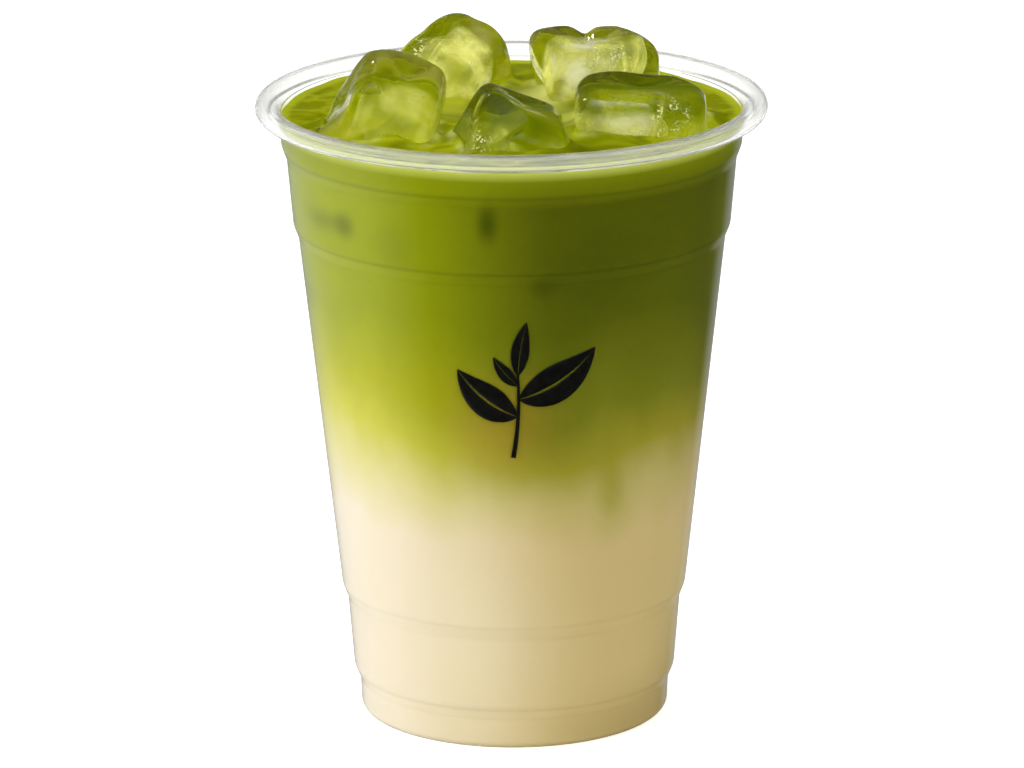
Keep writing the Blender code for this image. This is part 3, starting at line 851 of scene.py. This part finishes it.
studio = {
    "target": (-0.00018, 0, 0.0645),
    "roll": -0.3,  # degrees
    "distance": 1.45,
    "elevation": 15.7,
    "lens": 264.0,
    "sensor": 36,
    "clipStart": 0.05,
    "floorSize": 6,  # half its width
    "floorGlow": 0.62,
    "ambient": 0.42,
    "ceiling": 0.6,
    "dim": 0.04,  # what the gloss sees elsewhere
    "mirrored": (  # bright fields that the gloss sees: aim, cosines where one starts and is full, strength,
        # and the highest direction that it reaches
        ((-0.85, 0.45, -0.1), 0.25, 0.95, 0.62, -0.15),
        ((0.0, -0.25, 1.0), 0.80, 0.97, 1.00, 2.0),
        ((0.0, 0.95, -0.31), 0.80, 0.97, 0.32, 2.0),
    ),
    "topFade": 0.1,
    "afterGloss": 0.30,  # how bright the upper room looks through glass once a ray has been mirrored
    "lampAim": (0, 0, 0.07),
    "lamps": {  # place, size, power, and whether the gloss shows it
        "keyLight": ((-1.4, -0.6, 0.9), 1.2, 15.5, False),
        "fillLight": ((1.1, -1.2, 0.7), 1.0, 9.0, False),
        "backLight": ((-0.5, 1.0, 0.9), 0.12, 1.2, True),
    },
}


def placeCamera(scene):
    camera = bpy.data.objects.new("camera", bpy.data.cameras.new("camera"))
    scene.collection.objects.link(camera)
    angle = math.radians(studio["elevation"])
    back = Vector((0, -math.cos(angle), math.sin(angle)))
    camera.location = Vector(studio["target"]) + back * studio["distance"]
    camera.rotation_euler = (math.radians(90 - studio["elevation"]), 0, 0)
    camera.rotation_euler.rotate_axis("Z", math.radians(studio["roll"]))
    camera.data.lens = studio["lens"]
    camera.data.sensor_width = studio["sensor"]
    camera.data.clip_start = studio["clipStart"]
    scene.camera = camera


def makeFloor(scene):  # white paper that glows a little where the camera sees it, straight or through glass
    shape = bmesh.new()
    bmesh.ops.create_grid(shape, x_segments=1, y_segments=1, size=studio["floorSize"])
    mesh = bpy.data.meshes.new("floor")
    shape.to_mesh(mesh)
    shape.free()
    floor = bpy.data.objects.new("floor", mesh)
    scene.collection.objects.link(floor)
    material, tree = newMaterial("paleFloor")
    body = addNode(tree, "ShaderNodeBsdfDiffuse", {"Color": hexColour("#fbfbfa")})
    glow = addNode(tree, "ShaderNodeEmission", {"Strength": studio["floorGlow"]})
    bright = addNode(tree, "ShaderNodeAddShader", {0: body, 1: glow})
    path = addNode(tree, "ShaderNodeLightPath")
    seen = addNode(tree, "ShaderNodeMath", {
        0: path.outputs["Is Camera Ray"], 1: path.outputs["Is Transmission Ray"],
    }, operation="MAXIMUM")
    mix = addNode(tree, "ShaderNodeMixShader", {0: seen, 1: body, 2: bright})
    addNode(tree, "ShaderNodeOutputMaterial", {"Surface": mix})
    mesh.materials.append(material)
    floor.visible_glossy = False


def lightRoom(scene):  # the camera sees white; other rays see what the studio's values say
    world = bpy.data.worlds.new("studio")
    scene.world = world
    world.use_nodes = True
    tree = world.node_tree
    tree.nodes.clear()
    path = addNode(tree, "ShaderNodeLightPath")
    direction = addNode(tree, "ShaderNodeTexCoord").outputs["Generated"]
    upward = addNode(tree, "ShaderNodeSeparateXYZ", {0: direction}).outputs["Z"]
    glow = studio["dim"]
    for aim, low, high, strength, top in studio["mirrored"]:
        facing = addNode(tree, "ShaderNodeVectorMath", {
            0: direction, 1: Vector(aim).normalized(),
        }, operation="DOT_PRODUCT").outputs["Value"]
        lobe = addNode(tree, "ShaderNodeMapRange", {
            "Value": facing, "From Min": low, "From Max": high, "To Max": strength,
        }, interpolation_type="SMOOTHSTEP")
        under = addNode(tree, "ShaderNodeMapRange", {
            "Value": upward, "From Min": top, "From Max": top - studio["topFade"],
        })
        lobe = addNode(tree, "ShaderNodeMath", {0: lobe, 1: under}, operation="MULTIPLY")
        glow = addNode(tree, "ShaderNodeMath", {0: glow, 1: lobe}, operation="MAXIMUM")
    ceiling = addNode(tree, "ShaderNodeMapRange", {
        "Value": upward, "From Min": 0.2, "From Max": 0.7, "To Min": 1.0, "To Max": studio["ceiling"],
    })
    upperRoom = addNode(tree, "ShaderNodeMapRange", {
        "Value": upward, "From Min": -0.15, "From Max": 0.0, "To Min": 1.0, "To Max": studio["afterGloss"],
    })
    mirrored = addNode(tree, "ShaderNodeMapRange", {
        "Value": path.outputs["Glossy Depth"], "From Min": 0.4, "From Max": 0.6,
        "To Min": 1.0, "To Max": upperRoom,
    })
    through = addNode(tree, "ShaderNodeMath", {0: ceiling, 1: mirrored}, operation="MULTIPLY")
    white = {"Color": hexColour("#ffffff")}
    seen = addNode(tree, "ShaderNodeBackground", {**white, "Strength": studio["ambient"]})
    for ray, strength in (("Is Glossy Ray", glow), ("Is Transmission Ray", through), ("Is Camera Ray", 1.0)):
        light = addNode(tree, "ShaderNodeBackground", {**white, "Strength": strength})
        seen = addNode(tree, "ShaderNodeMixShader", {0: path.outputs[ray], 1: seen, 2: light})
    addNode(tree, "ShaderNodeOutputWorld", {"Surface": seen})


def hangLamps(scene):
    for name, (place, size, power, shown) in studio["lamps"].items():
        lamp = bpy.data.lights.new(name, "AREA")
        lamp.size = size
        lamp.energy = power
        light = bpy.data.objects.new(name, lamp)
        light.location = place
        aim = Vector(studio["lampAim"]) - Vector(place)
        light.rotation_euler = aim.to_track_quat("-Z", "Y").to_euler()
        light.visible_glossy = shown
        scene.collection.objects.link(light)


def makeStage():
    scene = bpy.context.scene
    scene.view_settings.view_transform = "Standard"
    placeCamera(scene)
    makeFloor(scene)
    lightRoom(scene)
    hangLamps(scene)


makeCup()
print("cup made")
icePieces = makeIce()
makeIceCores()
print("ice made")
makeDrink(icePieces)
print("drink made")
makeSprig()
print("print made")
makeStage()
print("stage set")
